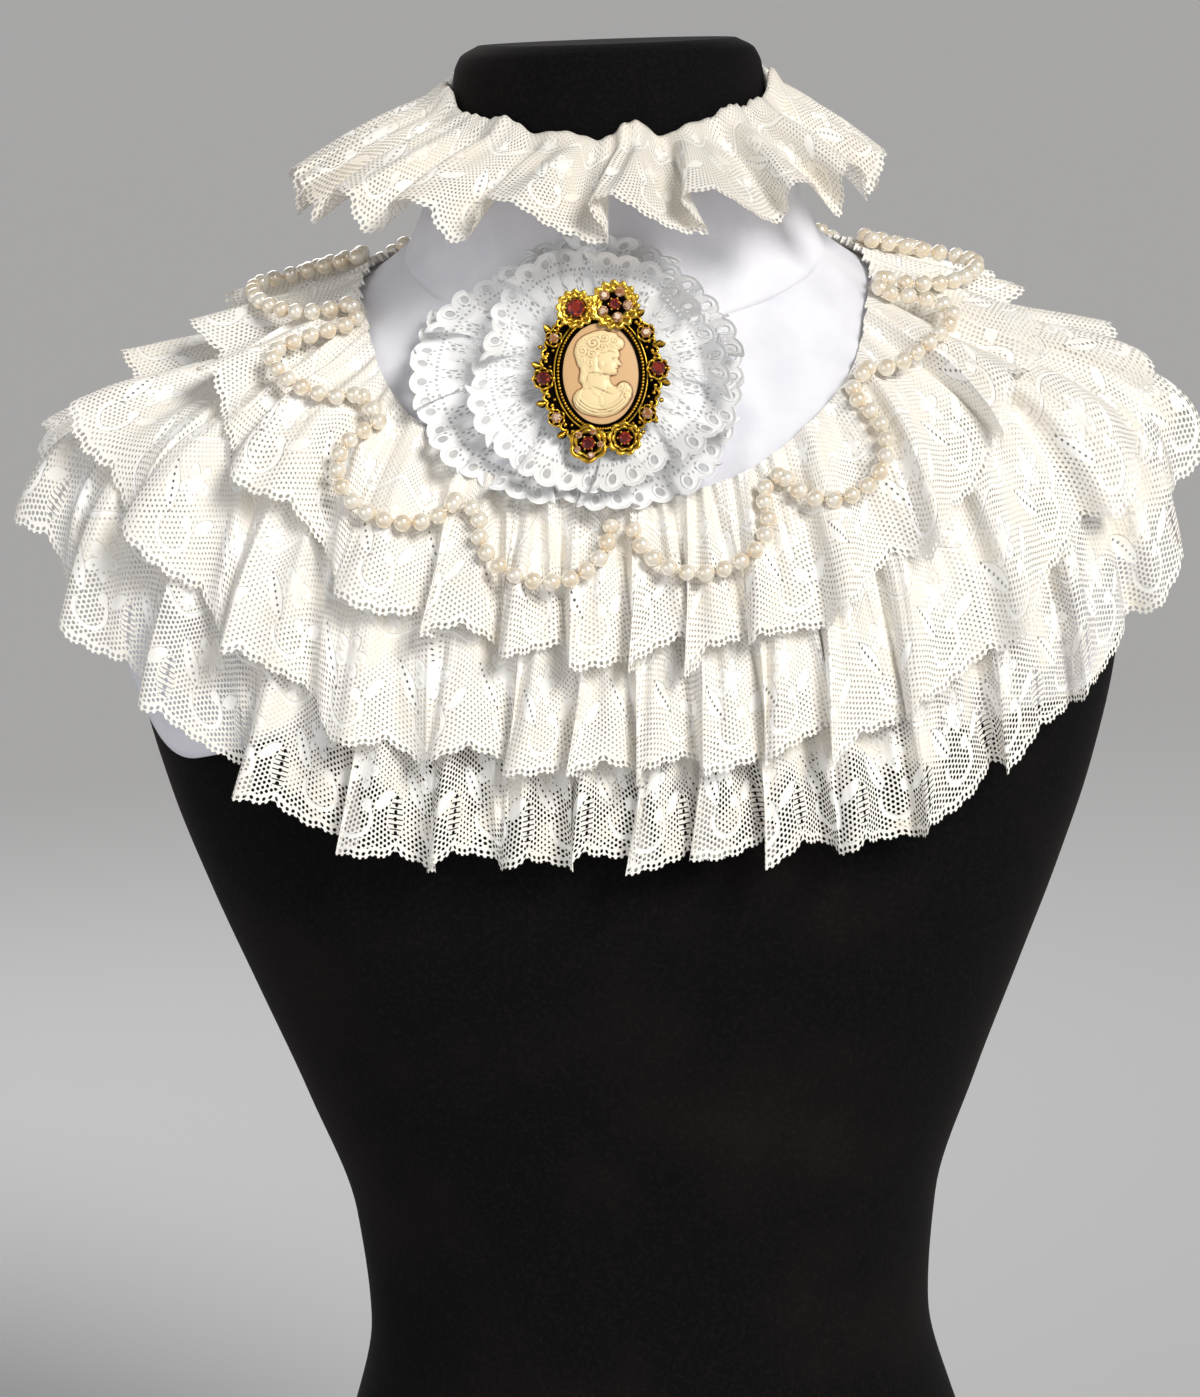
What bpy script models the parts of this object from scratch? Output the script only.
"""Ruffled lace collar on a limbless velvet dress form.

The dress form is a stack of rounded sections. The yoke lies on it, the lace tiers lie on the yoke and
flare past the shoulders, and the neck frill, the rosette, the brooch and the pearls lie on those. Every
table is in millimetres, with +Z up, the front towards -Y and the origin under the middle of the base.
"""
from functools import lru_cache
from math import atan2, cos, hypot, pi, radians, sin, sqrt, tau
from typing import NamedTuple, Sequence

import bmesh
import bpy
from mathutils import Vector

MM = 0.001

# Cloth walls and the gaps between pieces
SEAM_GAP = 0.4
COTTON_WALL = 1.2
LACE_WALL = 1.0
FORM_COLUMNS = 36
YOKE_COLUMNS = 44
STAND_COLUMNS = 40
BACK_SLIT = 0.5
NECK_TOP = 709.0
NECK_RADIUS = 60.0

# The lace spreads less over the +X shoulder: a flare past the first size here loses the second part of it.
RIGHT_FLARE_FREE = 10.0
RIGHT_FLARE_LOSS = 0.6


class Section(NamedTuple):
    """One level of the dress form, and how far the lace stands out from it there."""

    height: float
    side: float
    front: float
    back: float
    power: float
    flare_side: float
    flare_front: float
    flare_back: float


FORM_SECTIONS = (
    Section(height=0, side=156, front=100, back=104, power=2.2, flare_side=0, flare_front=0, flare_back=0),
    Section(height=60, side=154, front=99, back=104, power=2.2, flare_side=0, flare_front=0, flare_back=0),
    Section(height=115, side=142, front=94, back=98, power=2.2, flare_side=0, flare_front=0, flare_back=0),
    Section(height=165, side=121, front=88, back=88, power=2.2, flare_side=0, flare_front=0, flare_back=0),
    Section(height=205, side=112, front=86, back=82, power=2.2, flare_side=0, flare_front=0, flare_back=0),
    Section(height=250, side=116, front=89, back=85, power=2.2, flare_side=0, flare_front=0, flare_back=0),
    Section(height=300, side=133, front=96, back=93, power=2.3, flare_side=90, flare_front=24, flare_back=24),
    Section(height=345, side=151, front=103, back=100, power=2.4, flare_side=84, flare_front=20, flare_back=20),
    Section(height=385, side=167, front=107, back=104, power=2.5, flare_side=70, flare_front=15, flare_back=15),
    Section(height=425, side=181, front=107, back=106, power=2.6, flare_side=57, flare_front=11, flare_back=11),
    Section(height=465, side=191, front=106, back=106, power=2.6, flare_side=42, flare_front=7, flare_back=7),
    Section(height=505, side=196, front=102, back=104, power=2.5, flare_side=36, flare_front=6, flare_back=6),
    Section(height=534, side=197, front=96, back=101, power=2.4, flare_side=34, flare_front=5, flare_back=5),
    Section(height=554, side=195, front=90, back=98, power=2.3, flare_side=28, flare_front=5, flare_back=5),
    Section(height=567, side=186.5, front=85.5, back=95, power=2.2, flare_side=18, flare_front=5, flare_back=5),
    Section(height=578, side=170, front=81.5, back=92, power=2.1, flare_side=9, flare_front=5, flare_back=5),
    Section(height=589, side=149, front=77, back=89, power=2, flare_side=6, flare_front=5, flare_back=5),
    Section(height=600, side=128, front=72.5, back=86, power=2, flare_side=6, flare_front=5, flare_back=5),
    Section(height=611, side=108, front=68.5, back=82, power=2, flare_side=6, flare_front=5, flare_back=5),
    Section(height=622, side=91, front=65, back=78, power=2, flare_side=6, flare_front=5, flare_back=5),
    Section(height=632, side=78, front=62.5, back=73, power=2, flare_side=6, flare_front=5, flare_back=5),
    Section(height=642, side=70, front=61, back=68, power=2, flare_side=6, flare_front=5, flare_back=5),
    Section(height=654, side=62.5, front=60, back=63, power=2, flare_side=6, flare_front=5, flare_back=5),
    Section(height=697, side=60, front=60, back=60, power=2, flare_side=6, flare_front=5, flare_back=5),
    Section(height=705, side=57, front=57, back=57, power=2, flare_side=6, flare_front=5, flare_back=5),
    Section(height=NECK_TOP, side=50, front=50, back=50, power=2, flare_side=6, flare_front=5, flare_back=5),
)


class Station(NamedTuple):
    """The collar's seams and edges at one azimuth, 0 at the front and 180 at the back."""

    azimuth: float
    seam_height: float
    stand_top: float
    bare_yoke: float
    lace_length: float
    yoke_hem: float
    frill_reach: float
    frill_edge: float


COLLAR_STATIONS = (
    Station(azimuth=0, seam_height=602, stand_top=668, bare_yoke=66, lace_length=132, yoke_hem=436,
            frill_reach=110, frill_edge=646),
    Station(azimuth=22.5, seam_height=605, stand_top=669.5, bare_yoke=62, lace_length=139, yoke_hem=442,
            frill_reach=111, frill_edge=647),
    Station(azimuth=45, seam_height=612, stand_top=674, bare_yoke=45, lace_length=159, yoke_hem=446,
            frill_reach=113, frill_edge=649),
    Station(azimuth=67.5, seam_height=624, stand_top=680, bare_yoke=19, lace_length=160, yoke_hem=442,
            frill_reach=113, frill_edge=653),
    Station(azimuth=90, seam_height=634, stand_top=686, bare_yoke=14, lace_length=136, yoke_hem=482,
            frill_reach=113, frill_edge=656),
    Station(azimuth=112.5, seam_height=640, stand_top=689, bare_yoke=16, lace_length=152, yoke_hem=452,
            frill_reach=113, frill_edge=658),
    Station(azimuth=135, seam_height=644, stand_top=690, bare_yoke=20, lace_length=156, yoke_hem=456,
            frill_reach=114, frill_edge=659),
    Station(azimuth=180, seam_height=647, stand_top=691, bare_yoke=24, lace_length=144, yoke_hem=450,
            frill_reach=115, frill_edge=660),
)


class Tier(NamedTuple):
    """One gathered lace tier. start and end are parts of the lace length, the rest is in millimetres."""

    name: str
    start: float
    end: float
    waves: int
    rows: int
    rise_top: float
    rise_hem: float
    depth: float
    phase: float


TIERS = (
    Tier(name="ruffle_lower", start=0.53, end=1.0, waves=34, rows=4, rise_top=2.0, rise_hem=7.2, depth=6.2,
         phase=0.4),
    Tier(name="ruffle_middle", start=0.27, end=0.75, waves=32, rows=4, rise_top=2.0, rise_hem=14.8,
         depth=5.1, phase=1.9),
    Tier(name="ruffle_upper", start=0.0, end=0.44, waves=30, rows=3, rise_top=2.0, rise_hem=16.0, depth=5.4,
         phase=3.1),
)
COLUMNS_PER_WAVE = 4

FRILL_WAVES = 18
FRILL_COLUMNS_PER_WAVE = 6
FRILL_ROWS = 4
FRILL_RIM_DEPTH = 2.4
FRILL_EDGE_DEPTH = 9.5
FRILL_SWAY = 9.0
FRILL_UNEVENNESS = 1.4
FRILL_SHIFT_PHASE, FRILL_WAVE_PHASE = 0.8, 1.1
FRILL_DROOP_POWER = 1.25
FRILL_SIDE_WAVE = 0.25


class Swag(NamedTuple):
    """One loop of the pearl string: degrees round the neck, and millimetres out from the lace edge.

    settle is how far the loop sinks between the folds of the lace.
    """

    name: str
    start: float
    end: float
    start_out: float
    end_out: float
    drop: float
    lean: float
    settle: float


SWAGS = (
    Swag(name="pearl_swag_left_1", start=-3, end=-28, start_out=9, end_out=16, drop=22,
         lean=-2, settle=0.5),
    Swag(name="pearl_swag_left_2", start=-32.5, end=-47, start_out=17, end_out=11, drop=29,
         lean=-7, settle=1.2),
    Swag(name="pearl_swag_left_3", start=-52, end=-62.5, start_out=13, end_out=3, drop=35,
         lean=-8, settle=0.8),
    Swag(name="pearl_swag_left_4", start=-67, end=-90, start_out=3, end_out=3, drop=40,
         lean=-8, settle=0.1),
    Swag(name="pearl_swag_left_5", start=-94.5, end=-119, start_out=3, end_out=5, drop=37,
         lean=-4, settle=0),
    Swag(name="pearl_swag_left_6", start=-123.5, end=-147, start_out=5, end_out=6, drop=34,
         lean=-3, settle=0.6),
    Swag(name="pearl_swag_left_7", start=-151.5, end=-176, start_out=6, end_out=7, drop=32,
         lean=-1, settle=0.7),
    Swag(name="pearl_swag_right_1", start=1.5, end=27, start_out=9, end_out=11, drop=23,
         lean=4, settle=0.6),
    Swag(name="pearl_swag_right_2", start=31.5, end=46.5, start_out=9, end_out=5, drop=29,
         lean=5, settle=1.1),
    Swag(name="pearl_swag_right_3", start=51, end=65, start_out=6, end_out=3, drop=30, lean=9, settle=0),
    Swag(name="pearl_swag_right_4", start=69.5, end=90, start_out=3, end_out=3, drop=40,
         lean=7, settle=0.2),
    Swag(name="pearl_swag_right_5", start=94.5, end=120, start_out=3, end_out=6, drop=36,
         lean=3, settle=0.1),
    Swag(name="pearl_swag_right_6", start=124.5, end=148, start_out=6, end_out=5, drop=35,
         lean=2, settle=0.1),
    Swag(name="pearl_swag_right_7", start=152.5, end=176, start_out=5, end_out=7, drop=31,
         lean=2, settle=1.3),
)
PEARL_RADIUS = 3.3
PEARL_POINTS = 7


class Layer(NamedTuple):
    """One gathered disc of the rosette, centred at x and height, with its radii and its waves."""

    name: str
    x: float
    height: float
    half_width: float
    half_height: float
    waves: int
    lift: float
    press: float
    rise: float
    depth: float
    phase: float


ROSETTE = (
    Layer(name="rosette_back", x=-14, height=588, half_width=61, half_height=48, waves=11, lift=1.9, press=4.2,
          rise=12.4, depth=4.2, phase=0.6),
    Layer(name="rosette_front", x=-8, height=590, half_width=47, half_height=43, waves=9, lift=3.6, press=8.0,
          rise=17.5, depth=4.2, phase=2.2),
)
ROSETTE_ROWS = (0.1, 0.5, 0.82, 1.0)
ROSETTE_COLUMNS_PER_WAVE = 5
ROSETTE_BROAD_LOBE, ROSETTE_FINE_LOBE = 0.05, 0.03
ROSETTE_WAVE_START = 0.5
ROSETTE_PRESSED_WAVE = 0.45

# The brooch, in its own plane: u to the right, v up and w out of the cloth
BROOCH_X, BROOCH_HEIGHT = -7.0, 588.0
BROOCH_LIFT = 11.3
BROOCH_LEAN = 16.0
CAMEO_HALF_WIDTH, CAMEO_HALF_HEIGHT = 15.0, 20.0
BEZEL_WIDTH = 2.0
FRAME_HALF_WIDTH, FRAME_HALF_HEIGHT = 24.0, 30.0
FRAME_LOBES, FRAME_LOBE_DEPTH = 14, 1.9


class Setting(NamedTuple):
    """A flower or collet on the brooch frame with the stone that it holds."""

    name: str
    u: float
    v: float
    radius: float
    petals: int
    stone: float


SETTINGS = (
    Setting(name="top_left", u=-8.5, v=24.5, radius=6.2, petals=8, stone=3.6),
    Setting(name="top_right", u=6.0, v=25.5, radius=8.4, petals=5, stone=2.4),
    Setting(name="left", u=-21.3, v=-1.5, radius=4.6, petals=6, stone=2.7),
    Setting(name="right", u=21.3, v=0.8, radius=4.6, petals=6, stone=2.7),
    Setting(name="upper_left", u=-17.0, v=13.5, radius=3.4, petals=4, stone=1.7),
    Setting(name="upper_right", u=17.3, v=14.5, radius=3.4, petals=4, stone=1.7),
    Setting(name="lower_left", u=-17.0, v=-16.5, radius=3.6, petals=4, stone=1.9),
    Setting(name="lower_right", u=16.8, v=-16.0, radius=3.6, petals=4, stone=1.9),
    Setting(name="bottom_left", u=-5.6, v=-26.5, radius=6.6, petals=5, stone=2.6),
    Setting(name="bottom_right", u=8.0, v=-25.0, radius=6.0, petals=5, stone=2.4),
)


class Outline(NamedTuple):
    """A point of the bust's outline on the cameo."""

    u: float
    v: float


BUST_OUTLINE = (
    Outline(u=-10.0, v=-5.4), Outline(u=-9.2, v=-10.2), Outline(u=-5.4, v=-13.8), Outline(u=0.0, v=-15.4),
    Outline(u=5.4, v=-14.2), Outline(u=9.4, v=-10.6), Outline(u=10.9, v=-6.2), Outline(u=9.4, v=-2.6),
    Outline(u=5.6, v=-2.6), Outline(u=3.0, v=-1.4), Outline(u=3.2, v=-0.2), Outline(u=5.4, v=0.2),
    Outline(u=6.0, v=2.4), Outline(u=7.4, v=4.0), Outline(u=6.6, v=6.6), Outline(u=8.2, v=8.6),
    Outline(u=8.4, v=11.6), Outline(u=5.4, v=14.4), Outline(u=0.6, v=15.2), Outline(u=-4.4, v=14.2),
    Outline(u=-8.2, v=11.0), Outline(u=-9.4, v=7.0), Outline(u=-8.4, v=3.2), Outline(u=-6.6, v=0.6),
    Outline(u=-6.2, v=-2.2), Outline(u=-7.2, v=-4.2),
)

BUTTON_HEIGHTS = (656.0, 666.5, 677.0)
BUTTON_RADIUS = 4.0
BUTTON_SETBACK = 5.5


class Turning(NamedTuple):
    """A ring of a button's turned shape: its part of the radius and its lift off the cloth."""

    share: float
    lift: float


BUTTON_SHAPE = (Turning(share=0.5, lift=1.1), Turning(share=1.0, lift=1.9), Turning(share=1.0, lift=2.9),
                Turning(share=0.6, lift=3.7))
BUTTON_COLUMNS = 12


def blend_table(rows: Sequence[NamedTuple], key: str, column: str, at: float) -> float:
    """Read a column between two rows of a table, with a smooth curve through the rows."""
    keys = [getattr(row, key) for row in rows]
    values = [getattr(row, column) for row in rows]
    last = len(keys) - 1
    if at <= keys[0]:
        return values[0]
    if at >= keys[last]:
        return values[last]
    index = max(i for i in range(last) if keys[i] <= at)
    steps = [(values[i + 1] - values[i]) / (keys[i + 1] - keys[i]) for i in range(last)]

    def slope(i: int) -> float:
        if i == 0 or i == last:
            return 0.0 if key == "azimuth" else steps[min(i, last - 1)]
        before, after = steps[i - 1], steps[i]
        return 0.0 if before * after <= 0 else 2 * before * after / (before + after)

    width = keys[index + 1] - keys[index]
    t = (at - keys[index]) / width
    low, high = values[index], values[index + 1]
    rise = (2 * t**3 - 3 * t**2 + 1) * low + (3 * t**2 - 2 * t**3) * high
    return rise + width * ((t**3 - 2 * t**2 + t) * slope(index) + (t**3 - t**2) * slope(index + 1))


@lru_cache(maxsize=None)
def section_at(height: float, flared: bool) -> tuple[float, float, float, float]:
    """Side, front and back radius and the power of the section at a height."""
    read = [blend_table(FORM_SECTIONS, "height", column, height) for column in ("side", "front", "back")]
    if flared:
        for i, column in enumerate(("flare_side", "flare_front", "flare_back")):
            read[i] += blend_table(FORM_SECTIONS, "height", column, height)
    return read[0], read[1], read[2], blend_table(FORM_SECTIONS, "height", "power", height)


def radius_at(azimuth: float, height: float, flared: bool = False) -> float:
    """Distance from the axis to the surface, along an azimuth in radians."""
    side, front, back, power = section_at(round(height, 2), flared)
    if flared and azimuth > 0:
        flare = side - section_at(round(height, 2), False)[0]
        side -= max(0.0, flare - RIGHT_FLARE_FREE) * RIGHT_FLARE_LOSS
    depth = front if cos(azimuth) > 0 else back
    return (abs(sin(azimuth) / side) ** power + abs(cos(azimuth) / depth) ** power) ** (-1 / power)


def polar(azimuth: float, radius: float, height: float) -> Vector:
    """A point from its azimuth, its distance from the axis and its height."""
    return Vector((radius * sin(azimuth), -radius * cos(azimuth), height))


def station(azimuth: float, column: str) -> float:
    """A collar measure at an azimuth in radians; left and right are alike."""
    turn = abs((azimuth + pi) % tau - pi)
    return blend_table(COLLAR_STATIONS, "azimuth", column, turn * 180 / pi)


PROFILE_STEP = 1.5
PROFILE_FOOT = 310.0


@lru_cache(maxsize=None)
def profile(azimuth: float, flared: bool) -> list[tuple[float, float, float]]:
    """The surface's line from the neck seam down, as (way along it, radius, height)."""
    height = station(azimuth, "seam_height")
    line = [(0.0, radius_at(azimuth, height, flared), height)]
    while height > PROFILE_FOOT:
        height -= PROFILE_STEP
        radius = radius_at(azimuth, height, flared)
        way, old_radius, old_height = line[-1]
        line.append((way + hypot(radius - old_radius, height - old_height), radius, height))
    return line


def surface_point(azimuth: float, way: float, flared: bool = True) -> Vector:
    """The point a given way down the surface from the neck seam."""
    line = profile(round(azimuth, 5), flared)
    index = next((i for i in range(1, len(line)) if line[i][0] >= way), len(line) - 1)
    (way_a, radius_a, height_a), (way_b, radius_b, height_b) = line[index - 1], line[index]
    t = (way - way_a) / (way_b - way_a)
    return polar(azimuth, radius_a + t * (radius_b - radius_a), height_a + t * (height_b - height_a))


def surface_normal(azimuth: float, way: float, flared: bool = True) -> Vector:
    """The outward direction of the surface at that point."""
    turn, step = 0.03, 3.0
    across = surface_point(azimuth + turn, way, flared) - surface_point(azimuth - turn, way, flared)
    along = surface_point(azimuth, way + step, flared) - surface_point(azimuth, max(way - step, 0), flared)
    return along.cross(across).normalized()


def make_material(name: str, color: tuple[float, float, float], roughness: float, metallic: float = 0.0):
    """A plain finish in the piece's colour."""
    material = bpy.data.materials.new(name)
    material.use_nodes = True
    shader = material.node_tree.nodes["Principled BSDF"]
    shader.inputs["Base Color"].default_value = (*color, 1)
    shader.inputs["Roughness"].default_value = roughness
    shader.inputs["Metallic"].default_value = metallic
    return material


def add_object(name: str, vertices: Sequence[Vector], faces: Sequence[Sequence[int]], material):
    """Make one closed mesh object from points in millimetres."""
    mesh = bpy.data.meshes.new(name)
    mesh.from_pydata([tuple(point * MM) for point in vertices], [], faces)
    work = bmesh.new()
    work.from_mesh(mesh)
    bmesh.ops.recalc_face_normals(work, faces=work.faces)
    work.to_mesh(mesh)
    work.free()
    mesh.shade_smooth()
    mesh.set_sharp_from_angle(angle=radians(50))
    mesh.materials.append(material)
    piece = bpy.data.objects.new(name, mesh)
    bpy.context.collection.objects.link(piece)
    return piece


def grid_normals(grid: list[list[Vector]], closed: bool) -> list[list[Vector]]:
    """The direction across the sheet at each point of a grid of rows and columns."""
    rows, columns = len(grid), len(grid[0])
    normals = []
    for r in range(rows):
        line = []
        for c in range(columns):
            right, left = (c + 1) % columns, (c - 1) % columns
            if not closed:
                right, left = min(c + 1, columns - 1), max(c - 1, 0)
            across = grid[r][right] - grid[r][left]
            along = grid[min(r + 1, rows - 1)][c] - grid[max(r - 1, 0)][c]
            line.append(along.cross(across).normalized())
        normals.append(line)
    return normals


def add_wall(name: str, grid: list[list[Vector]], thickness: float, material, closed: bool = True):
    """Make a sheet of even thickness whose middle runs through a grid of points."""
    normals = grid_normals(grid, closed)
    rows, columns = len(grid), len(grid[0])
    half = thickness / 2
    outer = [grid[r][c] + normals[r][c] * half for r in range(rows) for c in range(columns)]
    inner = [grid[r][c] - normals[r][c] * half for r in range(rows) for c in range(columns)]
    size = rows * columns
    steps = columns if closed else columns - 1
    faces = []
    for c in range(steps):
        d = (c + 1) % columns
        for r in range(rows - 1):
            a, b = r * columns, (r + 1) * columns
            faces.append((a + c, a + d, b + d, b + c))
            faces.append((size + a + c, size + b + c, size + b + d, size + a + d))
        last = (rows - 1) * columns
        faces.append((c, size + c, size + d, d))
        faces.append((last + c, last + d, size + last + d, size + last + c))
    if not closed:
        for c in (0, columns - 1):
            for r in range(rows - 1):
                a, b = r * columns + c, (r + 1) * columns + c
                faces.append((a, b, size + b, size + a))
    return add_object(name, outer + inner, faces, material)


def ring_azimuths(columns: int) -> list[float]:
    """Azimuths round the neck from one side of the centre-back slit to the other."""
    slit = BACK_SLIT / NECK_RADIUS
    return [-pi + slit + (tau - 2 * slit) * i / columns for i in range(columns + 1)]


def build_form(material) -> None:
    """The limbless form: every section is a ring of points, closed by a flat base and a flat neck top."""
    points = []
    for row in FORM_SECTIONS:
        for c in range(FORM_COLUMNS):
            azimuth = form_azimuth(tau * c / FORM_COLUMNS, row.height)
            points.append(polar(azimuth, radius_at(azimuth, row.height), row.height))
    faces = [tuple(range(FORM_COLUMNS))]
    for r in range(len(FORM_SECTIONS) - 1):
        for c in range(FORM_COLUMNS):
            d = (c + 1) % FORM_COLUMNS
            a, b = r * FORM_COLUMNS, (r + 1) * FORM_COLUMNS
            faces.append((a + c, a + d, b + d, b + c))
    top = (len(FORM_SECTIONS) - 1) * FORM_COLUMNS
    faces.append(tuple(range(top, top + FORM_COLUMNS)))
    add_object("dress_form", points, faces, material)


def form_azimuth(turn: float, height: float) -> float:
    """Spread the points of a wide section evenly, closer together where it bends at the sides."""
    side, front, back, _ = section_at(round(height, 2), False)
    depth = front if cos(turn) > 0 else back
    return atan2(side * sin(turn), depth * cos(turn))


YOKE_ROW_HEIGHTS = (619, 605, 591, 579, 567, 554, 528, 488)
YOKE_ROW_SPACE = 4.5
YOKE_LIFT = 1.6
YOKE_TOP_DROP = 2.0
YOKE_EASE = 0.12
YOKE_RIPPLES = 9
YOKE_SPREAD = 1.5


def yoke_heights(azimuth: float) -> list[float]:
    """Heights of the yoke's rows at an azimuth, from its top edge down to its hem."""
    top = station(azimuth, "seam_height") - YOKE_TOP_DROP
    heights = [top]
    for row, height in enumerate(YOKE_ROW_HEIGHTS, start=1):
        heights.append(min(height, top - YOKE_ROW_SPACE * row))
    return heights + [station(azimuth, "yoke_hem")]


def build_yoke(material) -> None:
    """The plain cotton cape that lies on the shoulders and carries the lace."""
    grid = []
    for r in range(len(YOKE_ROW_HEIGHTS) + 2):
        line = []
        for azimuth in yoke_azimuths():
            height = yoke_heights(azimuth)[r]
            ease = 1 + YOKE_EASE * r * sin(YOKE_RIPPLES * azimuth) ** 2
            lift = (YOKE_LIFT + COTTON_WALL / 2) * ease
            point = polar(azimuth, radius_at(azimuth, height), height)
            line.append(point + level_normal(azimuth, height) * lift)
        grid.append(line)
    add_wall("yoke", grid, COTTON_WALL, material, closed=False)


def yoke_azimuths() -> list[float]:
    """Azimuths for the yoke's columns, spread as the form's own points are."""
    return [atan2(YOKE_SPREAD * sin(turn), cos(turn)) for turn in ring_azimuths(YOKE_COLUMNS)]


def level_normal(azimuth: float, height: float) -> Vector:
    """The outward direction of the form's surface at a height."""
    turn, step = 0.03, 2.0
    across = (polar(azimuth + turn, radius_at(azimuth + turn, height), height)
              - polar(azimuth - turn, radius_at(azimuth - turn, height), height))
    along = (polar(azimuth, radius_at(azimuth, height - step), height - step)
             - polar(azimuth, radius_at(azimuth, height + step), height + step))
    return along.cross(across).normalized()


STAND_ROWS = (0.0, 0.22, 0.5, 1.0)
STAND_FOOT_LIFT = 2.8
STAND_TOP_LIFT = 2.2
STAND_CURVE = 1.5


def stand_point(azimuth: float, part: float) -> Vector:
    """A point of the neck band, with part running from its seam at 0 to its top edge at 1."""
    foot, top = station(azimuth, "seam_height"), station(azimuth, "stand_top")
    foot_radius = radius_at(azimuth, foot) + STAND_FOOT_LIFT
    top_radius = radius_at(azimuth, top) + STAND_TOP_LIFT
    height = foot + (top - foot) * part
    ease = (1 - part) ** STAND_CURVE
    radius = top_radius + (foot_radius - top_radius) * ease
    return polar(azimuth, max(radius, radius_at(azimuth, height) + STAND_TOP_LIFT), height)


def build_stand(material) -> None:
    """The plain neck band, which flares from the neck to its seam on the yoke."""
    grid = [[stand_point(azimuth, part) for azimuth in ring_azimuths(STAND_COLUMNS)]
            for part in reversed(STAND_ROWS)]
    add_wall("stand_collar", grid, COTTON_WALL, material, closed=False)


BROAD_SHIFT, FINE_SHIFT = 0.028, 0.014
WAVE_MEAN, WAVE_CHANGE = 0.84, 0.16
BACK_STRAIGHTNESS = 8


def uneven(turn: float, phase: float) -> float:
    """Shift evenly spaced waves a little, so that no two are equally wide, but not at the back opening."""
    shift = BROAD_SHIFT * sin(3 * turn + phase) + FINE_SHIFT * sin(8 * turn + 2.3 * phase)
    return shift * (1 - (turn / pi) ** BACK_STRAIGHTNESS)


def wave_height(turn: float, waves: int, phase: float) -> float:
    """Height of the gathers from -1 to 1 at an even turn, some folds deeper than others."""
    return sin(waves * turn) * (WAVE_MEAN + WAVE_CHANGE * sin(5 * turn + phase))


def tier_point(tier: Tier, turn: float, part: float) -> Vector:
    """A point in the middle of a lace tier, with part running from its gathering line to its hem."""
    azimuth = turn + uneven(turn, tier.phase)
    reach = tier.start + (tier.end - tier.start) * part
    way = station(azimuth, "bare_yoke") + station(azimuth, "lace_length") * reach
    rise = tier.rise_top + (tier.rise_hem - tier.rise_top) * part
    rise += tier.depth * part * wave_height(turn, tier.waves, tier.phase)
    return surface_point(azimuth, way) + surface_normal(azimuth, way) * rise


def build_tier(tier: Tier, material) -> None:
    """One gathered tier of lace, flat where it is sewn on and deep in waves at its hem."""
    turns = ring_azimuths(tier.waves * COLUMNS_PER_WAVE)
    grid = [[tier_point(tier, turn, r / (tier.rows - 1)) for turn in turns] for r in range(tier.rows)]
    add_wall(tier.name, grid, LACE_WALL, material, closed=False)


def frill_point(turn: float, part: float) -> Vector:
    """A point in the middle of the neck frill, with part running from the band out to its edge."""
    azimuth = turn + FRILL_UNEVENNESS * uneven(turn, FRILL_SHIFT_PHASE)
    rim_radius = stand_point(azimuth, 1.0).xy.length
    rim_height = station(azimuth, "stand_top") + 2 * SEAM_GAP + LACE_WALL / 2 + FRILL_RIM_DEPTH
    radius = rim_radius + (station(azimuth, "frill_reach") - rim_radius) * part
    droop = part ** FRILL_DROOP_POWER
    height = rim_height + (station(azimuth, "frill_edge") - rim_height) * droop
    depth = FRILL_RIM_DEPTH + (FRILL_EDGE_DEPTH - FRILL_RIM_DEPTH) * part
    wave = wave_height(turn, FRILL_WAVES, FRILL_WAVE_PHASE)
    sway = Vector((-FRILL_SWAY * part, 0, 0))
    return polar(azimuth, radius + FRILL_SIDE_WAVE * depth * wave * part, height + depth * wave) + sway


def build_frill(material) -> None:
    """The gathered lace frill that stands on the neck band and falls outward."""
    turns = ring_azimuths(FRILL_WAVES * FRILL_COLUMNS_PER_WAVE)
    grid = [[frill_point(turn, r / (FRILL_ROWS - 1)) for turn in turns] for r in range(FRILL_ROWS)]
    add_wall("neck_ruffle", grid, LACE_WALL, material, closed=False)


def cloth_depth(x: float, height: float) -> float:
    """How far in front of the axis the neck band or the yoke lies, at a place seen from the front."""
    azimuth, depth = 0.0, 0.0
    for _ in range(8):
        radius = radius_at(azimuth, height) + YOKE_LIFT + COTTON_WALL
        foot, top = station(azimuth, "seam_height"), station(azimuth, "stand_top")
        if foot < height < top:
            band_radius = stand_point(azimuth, (height - foot) / (top - foot)).xy.length
            radius = max(radius, band_radius + COTTON_WALL / 2)
        depth = sqrt(max(radius**2 - x**2, 1.0))
        azimuth = atan2(x, depth)
    return depth


def rosette_point(layer: Layer, turn: float, part: float) -> Vector:
    """A point in the middle of a rosette layer, with part running from its centre to its edge."""
    lobes = 1 + ROSETTE_BROAD_LOBE * sin(3 * turn + layer.phase)
    lobes += ROSETTE_FINE_LOBE * sin(5 * turn + 2 * layer.phase)
    x = layer.x + layer.half_width * lobes * part * sin(turn)
    height = layer.height + layer.half_height * lobes * part * cos(turn)
    pressed, edge = ROSETTE_ROWS[-2], ROSETTE_ROWS[-1]
    if part <= pressed:
        lift = layer.lift + (layer.press - layer.lift) * part / pressed
    else:
        lift = layer.press + (layer.rise - layer.press) * (part - pressed) / (edge - pressed)
    depth = layer.depth * max(0.0, part - ROSETTE_WAVE_START) / (1 - ROSETTE_WAVE_START)
    depth *= 1.0 if part > pressed else ROSETTE_PRESSED_WAVE
    lift += depth * wave_height(turn, layer.waves, layer.phase)
    return Vector((x, -(cloth_depth(x, height) + lift), height))


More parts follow.
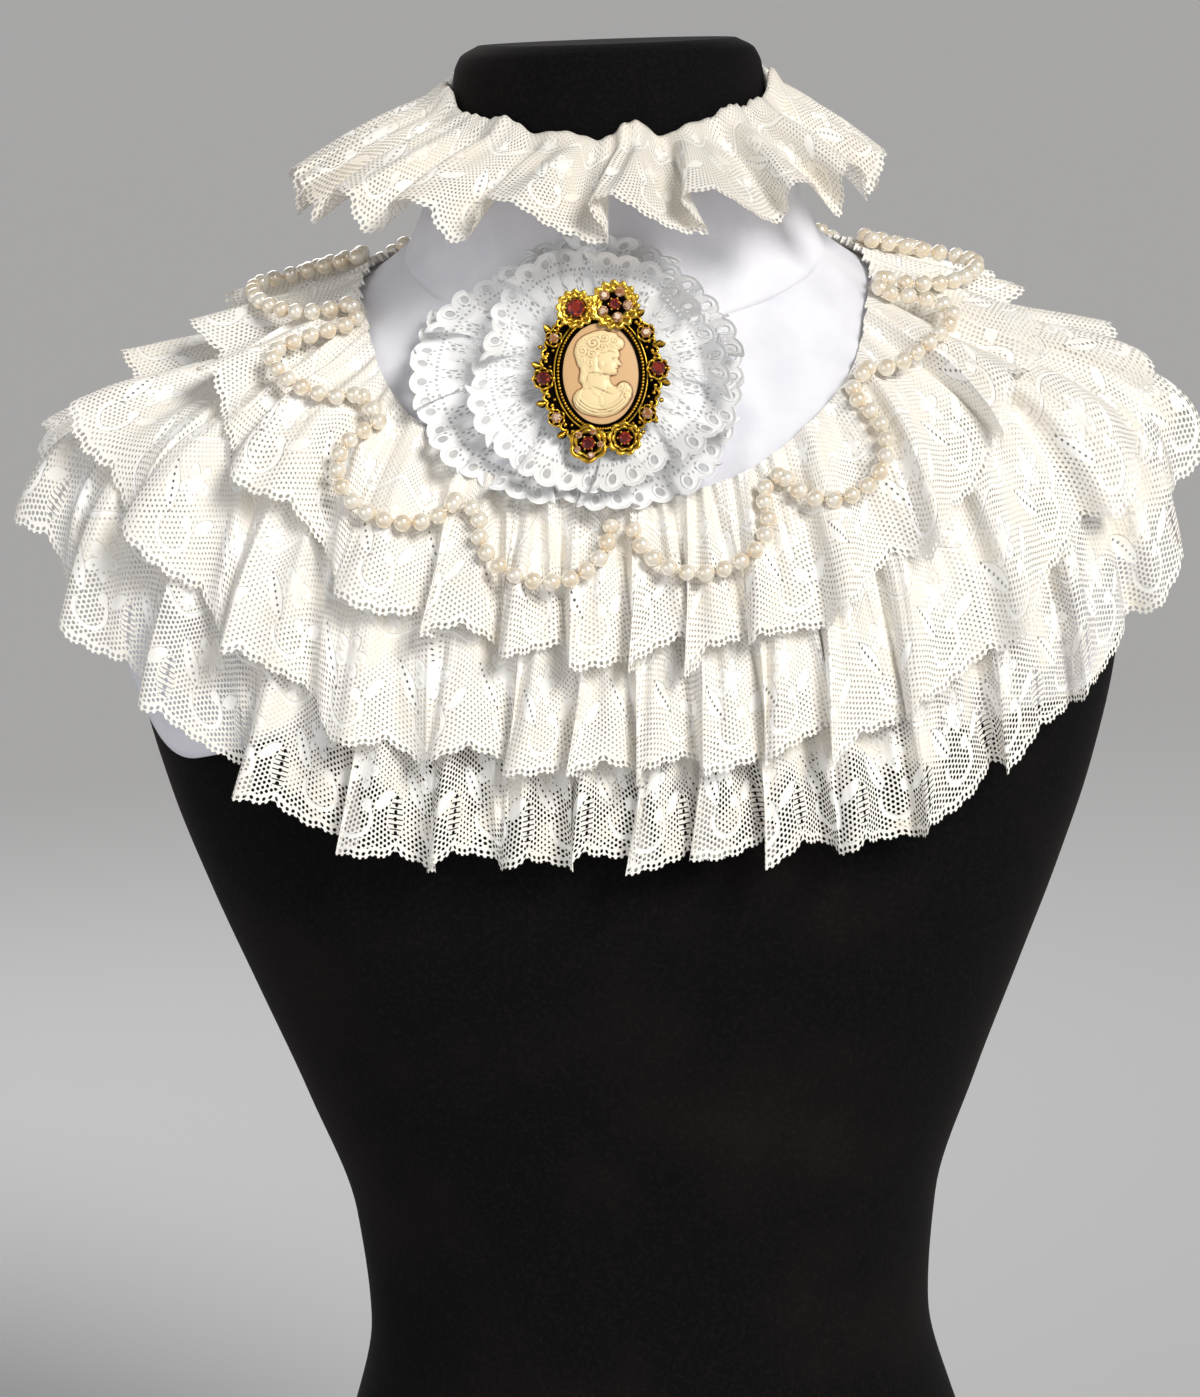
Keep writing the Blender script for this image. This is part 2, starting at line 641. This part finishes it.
def build_rosette_layer(layer: Layer, material) -> None:
    """A disc of eyelet lace gathered at its centre, pressed flat where the brooch is pinned to it."""
    columns = layer.waves * ROSETTE_COLUMNS_PER_WAVE
    grid = [[rosette_point(layer, tau * c / columns, part) for c in range(columns)]
            for part in ROSETTE_ROWS]
    add_wall(layer.name, grid, LACE_WALL, material)


def brooch_point(u: float, v: float, w: float) -> Vector:
    """A point of the brooch from its place in the brooch's own plane."""
    lean = radians(BROOCH_LEAN)
    out, up = Vector((0, -cos(lean), sin(lean))), Vector((0, sin(lean), cos(lean)))
    depth = cloth_depth(BROOCH_X, BROOCH_HEIGHT) + BROOCH_LIFT
    return Vector((BROOCH_X + u, -depth, BROOCH_HEIGHT)) + up * v + out * w


def add_rings(name: str, rings: Sequence[Sequence[Vector]], material, tube: bool = False):
    """Join rings of points into one closed solid, capped at both ends or closed on itself as a tube."""
    columns = len(rings[0])
    points = [point for ring in rings for point in ring]
    faces = []
    for r in range(len(rings) if tube else len(rings) - 1):
        a, b = r * columns, (r + 1) % len(rings) * columns
        for c in range(columns):
            d = (c + 1) % columns
            faces.append((a + c, a + d, b + d, b + c))
    if not tube:
        last = (len(rings) - 1) * columns
        faces.append(tuple(range(columns)))
        faces.append(tuple(range(last, last + columns)))
    return add_object(name, points, faces, material)


def oval(columns: int, half_width: float, half_height: float, w: float, u: float = 0.0, v: float = 0.0,
         petals: int = 0, petal_depth: float = 0.0) -> list[Vector]:
    """A ring of points on the brooch, round or oval, with petals round its edge where they are asked for."""
    ring = []
    for c in range(columns):
        turn = tau * c / columns
        swell = petal_depth * abs(sin(petals * turn / 2)) if petals else 0.0
        out_u, out_v = (half_width + swell) * sin(turn), (half_height + swell) * cos(turn)
        ring.append(brooch_point(u + out_u, v + out_v, w))
    return ring


PLATE_BACK, PLATE_FRONT = 0.0, 1.2
FRAME_BACK, FRAME_FRONT = 1.5, 4.4
CAMEO_RIM, CAMEO_CROWN = 3.6, 4.5
CROWN_SHARE = 0.55
CAMEO_COLUMNS = 32
RELIEF_BACK, RELIEF_FRONT = 4.8, 6.3
SETTING_BACK, SETTING_FRONT = 4.7, 6.0
STONE_BACK, STONE_FRONT = 6.3, 7.9


def build_brooch(gold, dark_gold, tan, cream, garnet) -> None:
    """The cameo brooch: plate, scalloped frame, bezel, plaque, bust, flower settings and stones."""
    plate_width, plate_height = FRAME_HALF_WIDTH - 3, FRAME_HALF_HEIGHT - 3
    add_rings("brooch_backplate", [oval(24, plate_width, plate_height, w) for w in (PLATE_BACK, PLATE_FRONT)],
              dark_gold)
    inner_width = CAMEO_HALF_WIDTH + BEZEL_WIDTH + SEAM_GAP * 2
    inner_height = CAMEO_HALF_HEIGHT + BEZEL_WIDTH + SEAM_GAP * 2
    lobes = {"petals": FRAME_LOBES, "petal_depth": FRAME_LOBE_DEPTH}
    columns = FRAME_LOBES * 4
    middle = (FRAME_BACK + FRAME_FRONT) / 2
    add_rings("brooch_frame", [
        oval(columns, inner_width, inner_height, FRAME_BACK),
        oval(columns, FRAME_HALF_WIDTH - 1, FRAME_HALF_HEIGHT - 1, FRAME_BACK, **lobes),
        oval(columns, FRAME_HALF_WIDTH, FRAME_HALF_HEIGHT, middle, **lobes),
        oval(columns, inner_width, inner_height, FRAME_FRONT),
    ], gold, tube=True)
    bezel_inner = SEAM_GAP
    bezel_outer = SEAM_GAP + BEZEL_WIDTH
    add_rings("brooch_bezel", [
        oval(CAMEO_COLUMNS, CAMEO_HALF_WIDTH + offset, CAMEO_HALF_HEIGHT + offset, w)
        for offset, w in ((bezel_inner, FRAME_BACK), (bezel_outer, FRAME_BACK), (bezel_outer, CAMEO_RIM),
                          (bezel_inner + BEZEL_WIDTH / 2, FRAME_FRONT), (bezel_inner, CAMEO_RIM))
    ], gold, tube=True)
    add_rings("cameo_plaque", [
        oval(CAMEO_COLUMNS, CAMEO_HALF_WIDTH, CAMEO_HALF_HEIGHT, FRAME_BACK),
        oval(CAMEO_COLUMNS, CAMEO_HALF_WIDTH, CAMEO_HALF_HEIGHT, CAMEO_RIM),
        oval(CAMEO_COLUMNS, CAMEO_HALF_WIDTH * CROWN_SHARE, CAMEO_HALF_HEIGHT * CROWN_SHARE, CAMEO_CROWN),
    ], tan)
    add_rings("cameo_relief", [[brooch_point(point.u * scale, point.v * scale, w) for point in BUST_OUTLINE]
                               for scale, w in ((1.0, RELIEF_BACK), (1.0, RELIEF_FRONT - 0.5),
                                                (0.9, RELIEF_FRONT))], cream)
    for setting in SETTINGS:
        build_setting(setting, gold, garnet)


def build_setting(setting: Setting, gold, garnet) -> None:
    """One flower or collet of the frame and the round stone in it."""
    columns = setting.petals * 4
    depth = setting.radius * 0.28
    place = {"u": setting.u, "v": setting.v}
    add_rings(f"brooch_flower_{setting.name}", [
        oval(columns, radius, radius, w, petals=setting.petals, petal_depth=depth, **place)
        for radius, w in ((setting.radius - depth, SETTING_BACK), (setting.radius - depth, SETTING_FRONT))
    ], gold)
    add_rings(f"brooch_stone_{setting.name}", [
        oval(8, radius, radius, w, **place)
        for radius, w in ((setting.stone, STONE_BACK), (setting.stone * 0.5, STONE_FRONT))
    ], garnet)


def swag_point(swag: Swag, t: float) -> Vector:
    """A point on the middle line of one pearl loop, with t running from 0 to 1."""
    turn = radians(swag.start + (swag.end - swag.start) * (1 - cos(pi * t)) / 2 + swag.lean * sin(pi * t))
    out = swag.start_out + (swag.end_out - swag.start_out) * t + swag.drop * max(sin(pi * t), 0.0) ** 0.85
    tier = TIERS[-1]
    length = station(turn, "lace_length")
    part = out / (length * (tier.end - tier.start))
    lace_top = tier.rise_top + (tier.rise_hem - tier.rise_top) * part + tier.depth * part + LACE_WALL / 2
    lift = lace_top + PEARL_RADIUS + 2 * SEAM_GAP - swag.settle
    way = station(turn, "bare_yoke") + out
    return surface_point(turn, way) + surface_normal(turn, way) * lift


def build_swag(swag: Swag, material) -> None:
    """One loop of the pearl string, as a plain cord along its middle line."""
    curve = bpy.data.curves.new(swag.name, "CURVE")
    curve.dimensions = "3D"
    curve.bevel_depth = PEARL_RADIUS * MM
    curve.bevel_resolution = 2
    curve.use_fill_caps = True
    spline = curve.splines.new("POLY")
    spline.points.add(PEARL_POINTS)
    for i, point in enumerate(spline.points):
        point.co = (*(swag_point(swag, i / PEARL_POINTS) * MM), 1)
    curve.materials.append(material)
    bpy.context.collection.objects.link(bpy.data.objects.new(swag.name, curve))


def build_buttons(material) -> None:
    """Three small domed buttons beside the centre-back opening of the neck band."""
    azimuth = pi - BUTTON_SETBACK / NECK_RADIUS
    out = polar(azimuth, 1.0, 0.0)
    side = Vector((-out.y, out.x, 0))
    foot, top = station(azimuth, "seam_height"), station(azimuth, "stand_top")
    for number, height in enumerate(BUTTON_HEIGHTS, start=1):
        seat = stand_point(azimuth, (height - foot) / (top - foot))
        rings = []
        for row in BUTTON_SHAPE:
            radius = BUTTON_RADIUS * row.share
            ring = []
            for c in range(BUTTON_COLUMNS):
                turn = tau * c / BUTTON_COLUMNS
                rim = side * radius * cos(turn) + Vector((0, 0, radius * sin(turn)))
                ring.append(seat + out * row.lift + rim)
            rings.append(ring)
        add_rings(f"neck_button_{number}", rings, material)


def clear_scene() -> None:
    """Remove whatever the scene holds."""
    for old in list(bpy.data.objects):
        bpy.data.objects.remove(old, do_unlink=True)


def main() -> None:
    """Build every piece."""
    clear_scene()
    velvet = make_material("black_velvet", (0.004, 0.003, 0.004), 0.95)
    cotton = make_material("white_cotton", (0.78, 0.79, 0.86), 0.85)
    lace = make_material("ivory_lace", (0.88, 0.85, 0.78), 0.8)
    build_form(velvet)
    build_yoke(cotton)
    build_stand(cotton)
    for tier in TIERS:
        build_tier(tier, lace)
    build_frill(lace)
    eyelet_lace = make_material("white_eyelet_lace", (0.93, 0.93, 0.93), 0.8)
    for layer in ROSETTE:
        build_rosette_layer(layer, eyelet_lace)
    gold = make_material("antique_gold", (0.58, 0.36, 0.05), 0.35, 1.0)
    dark_gold = make_material("blackened_gold", (0.12, 0.07, 0.02), 0.5, 1.0)
    tan = make_material("peach_resin", (0.72, 0.42, 0.22), 0.45)
    cream = make_material("cream_resin", (0.88, 0.72, 0.45), 0.45)
    garnet = make_material("garnet_glass", (0.2, 0.01, 0.01), 0.1)
    build_brooch(gold, dark_gold, tan, cream, garnet)
    pearl = make_material("cream_pearl", (0.87, 0.78, 0.64), 0.25)
    for swag in SWAGS:
        build_swag(swag, pearl)
    build_buttons(pearl)


main()
